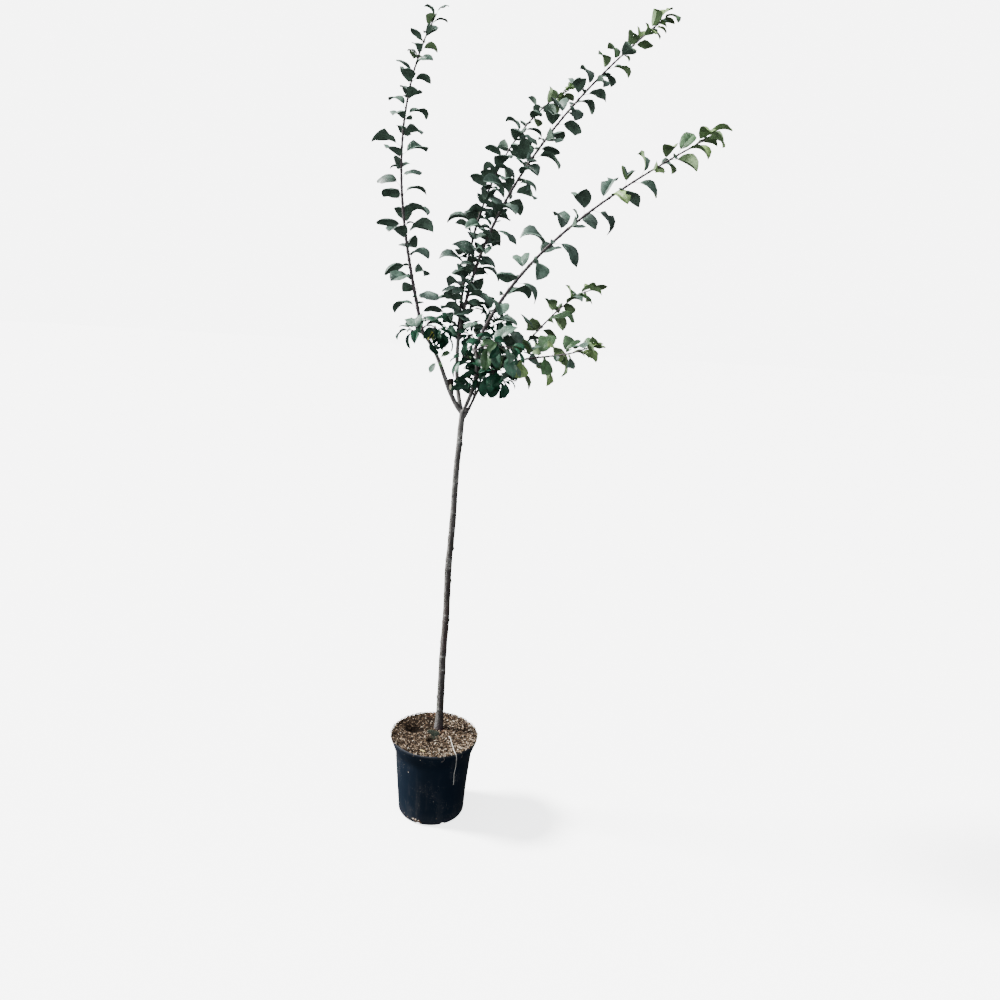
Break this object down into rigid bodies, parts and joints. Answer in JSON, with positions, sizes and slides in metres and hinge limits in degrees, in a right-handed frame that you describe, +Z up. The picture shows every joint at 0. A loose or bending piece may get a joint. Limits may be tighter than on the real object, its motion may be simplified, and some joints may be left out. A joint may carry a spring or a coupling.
{
  "type": "potted fruit tree sapling",
  "caption": "Young fruit tree on a tall clear stem, forked into boughs with long arching leafy shoots, growing in a round black plastic nursery pot filled with compost.",
  "frame": {"origin": "centre of the pot's flat underside, on the ground it stands on", "axes": "+Z up along the clear stem, +X to the side that the longer shoots lean to, +Y to the back"},
  "size_m": [0.8633, 0.6343, 2.3202],
  "materials": {
    "pot_plastic": "matte black moulded plastic, dusty",
    "compost_bark": "rough brown compost with bark chips",
    "trunk_bark": "grey-brown young bark with paler patches",
    "bough_bark": "smooth grey to purplish brown bark",
    "leaf_green": "dull dark green leaves, paler beneath, on thin purplish stems"
  },
  "bodies": {
    "root": {"pot": "pot_plastic", "compost": "compost_bark", "trunk": "trunk_bark", "bough_left": "bough_bark", "bough_middle": "bough_bark", "bough_right": "bough_bark", "bough_low": "bough_bark", "shoot_left": "leaf_green", "shoot_middle_rear": "leaf_green", "shoot_middle_front": "leaf_green", "shoot_right": "leaf_green", "shoot_low_rear": "leaf_green", "shoot_low_front": "leaf_green", "spray_outer": "leaf_green", "spray_left": "leaf_green", "spray_middle": "leaf_green", "spray_right": "leaf_green", "spray_under": "leaf_green", "spray_front": "leaf_green", "spray_rear": "leaf_green"}
  },
  "joints": []
}
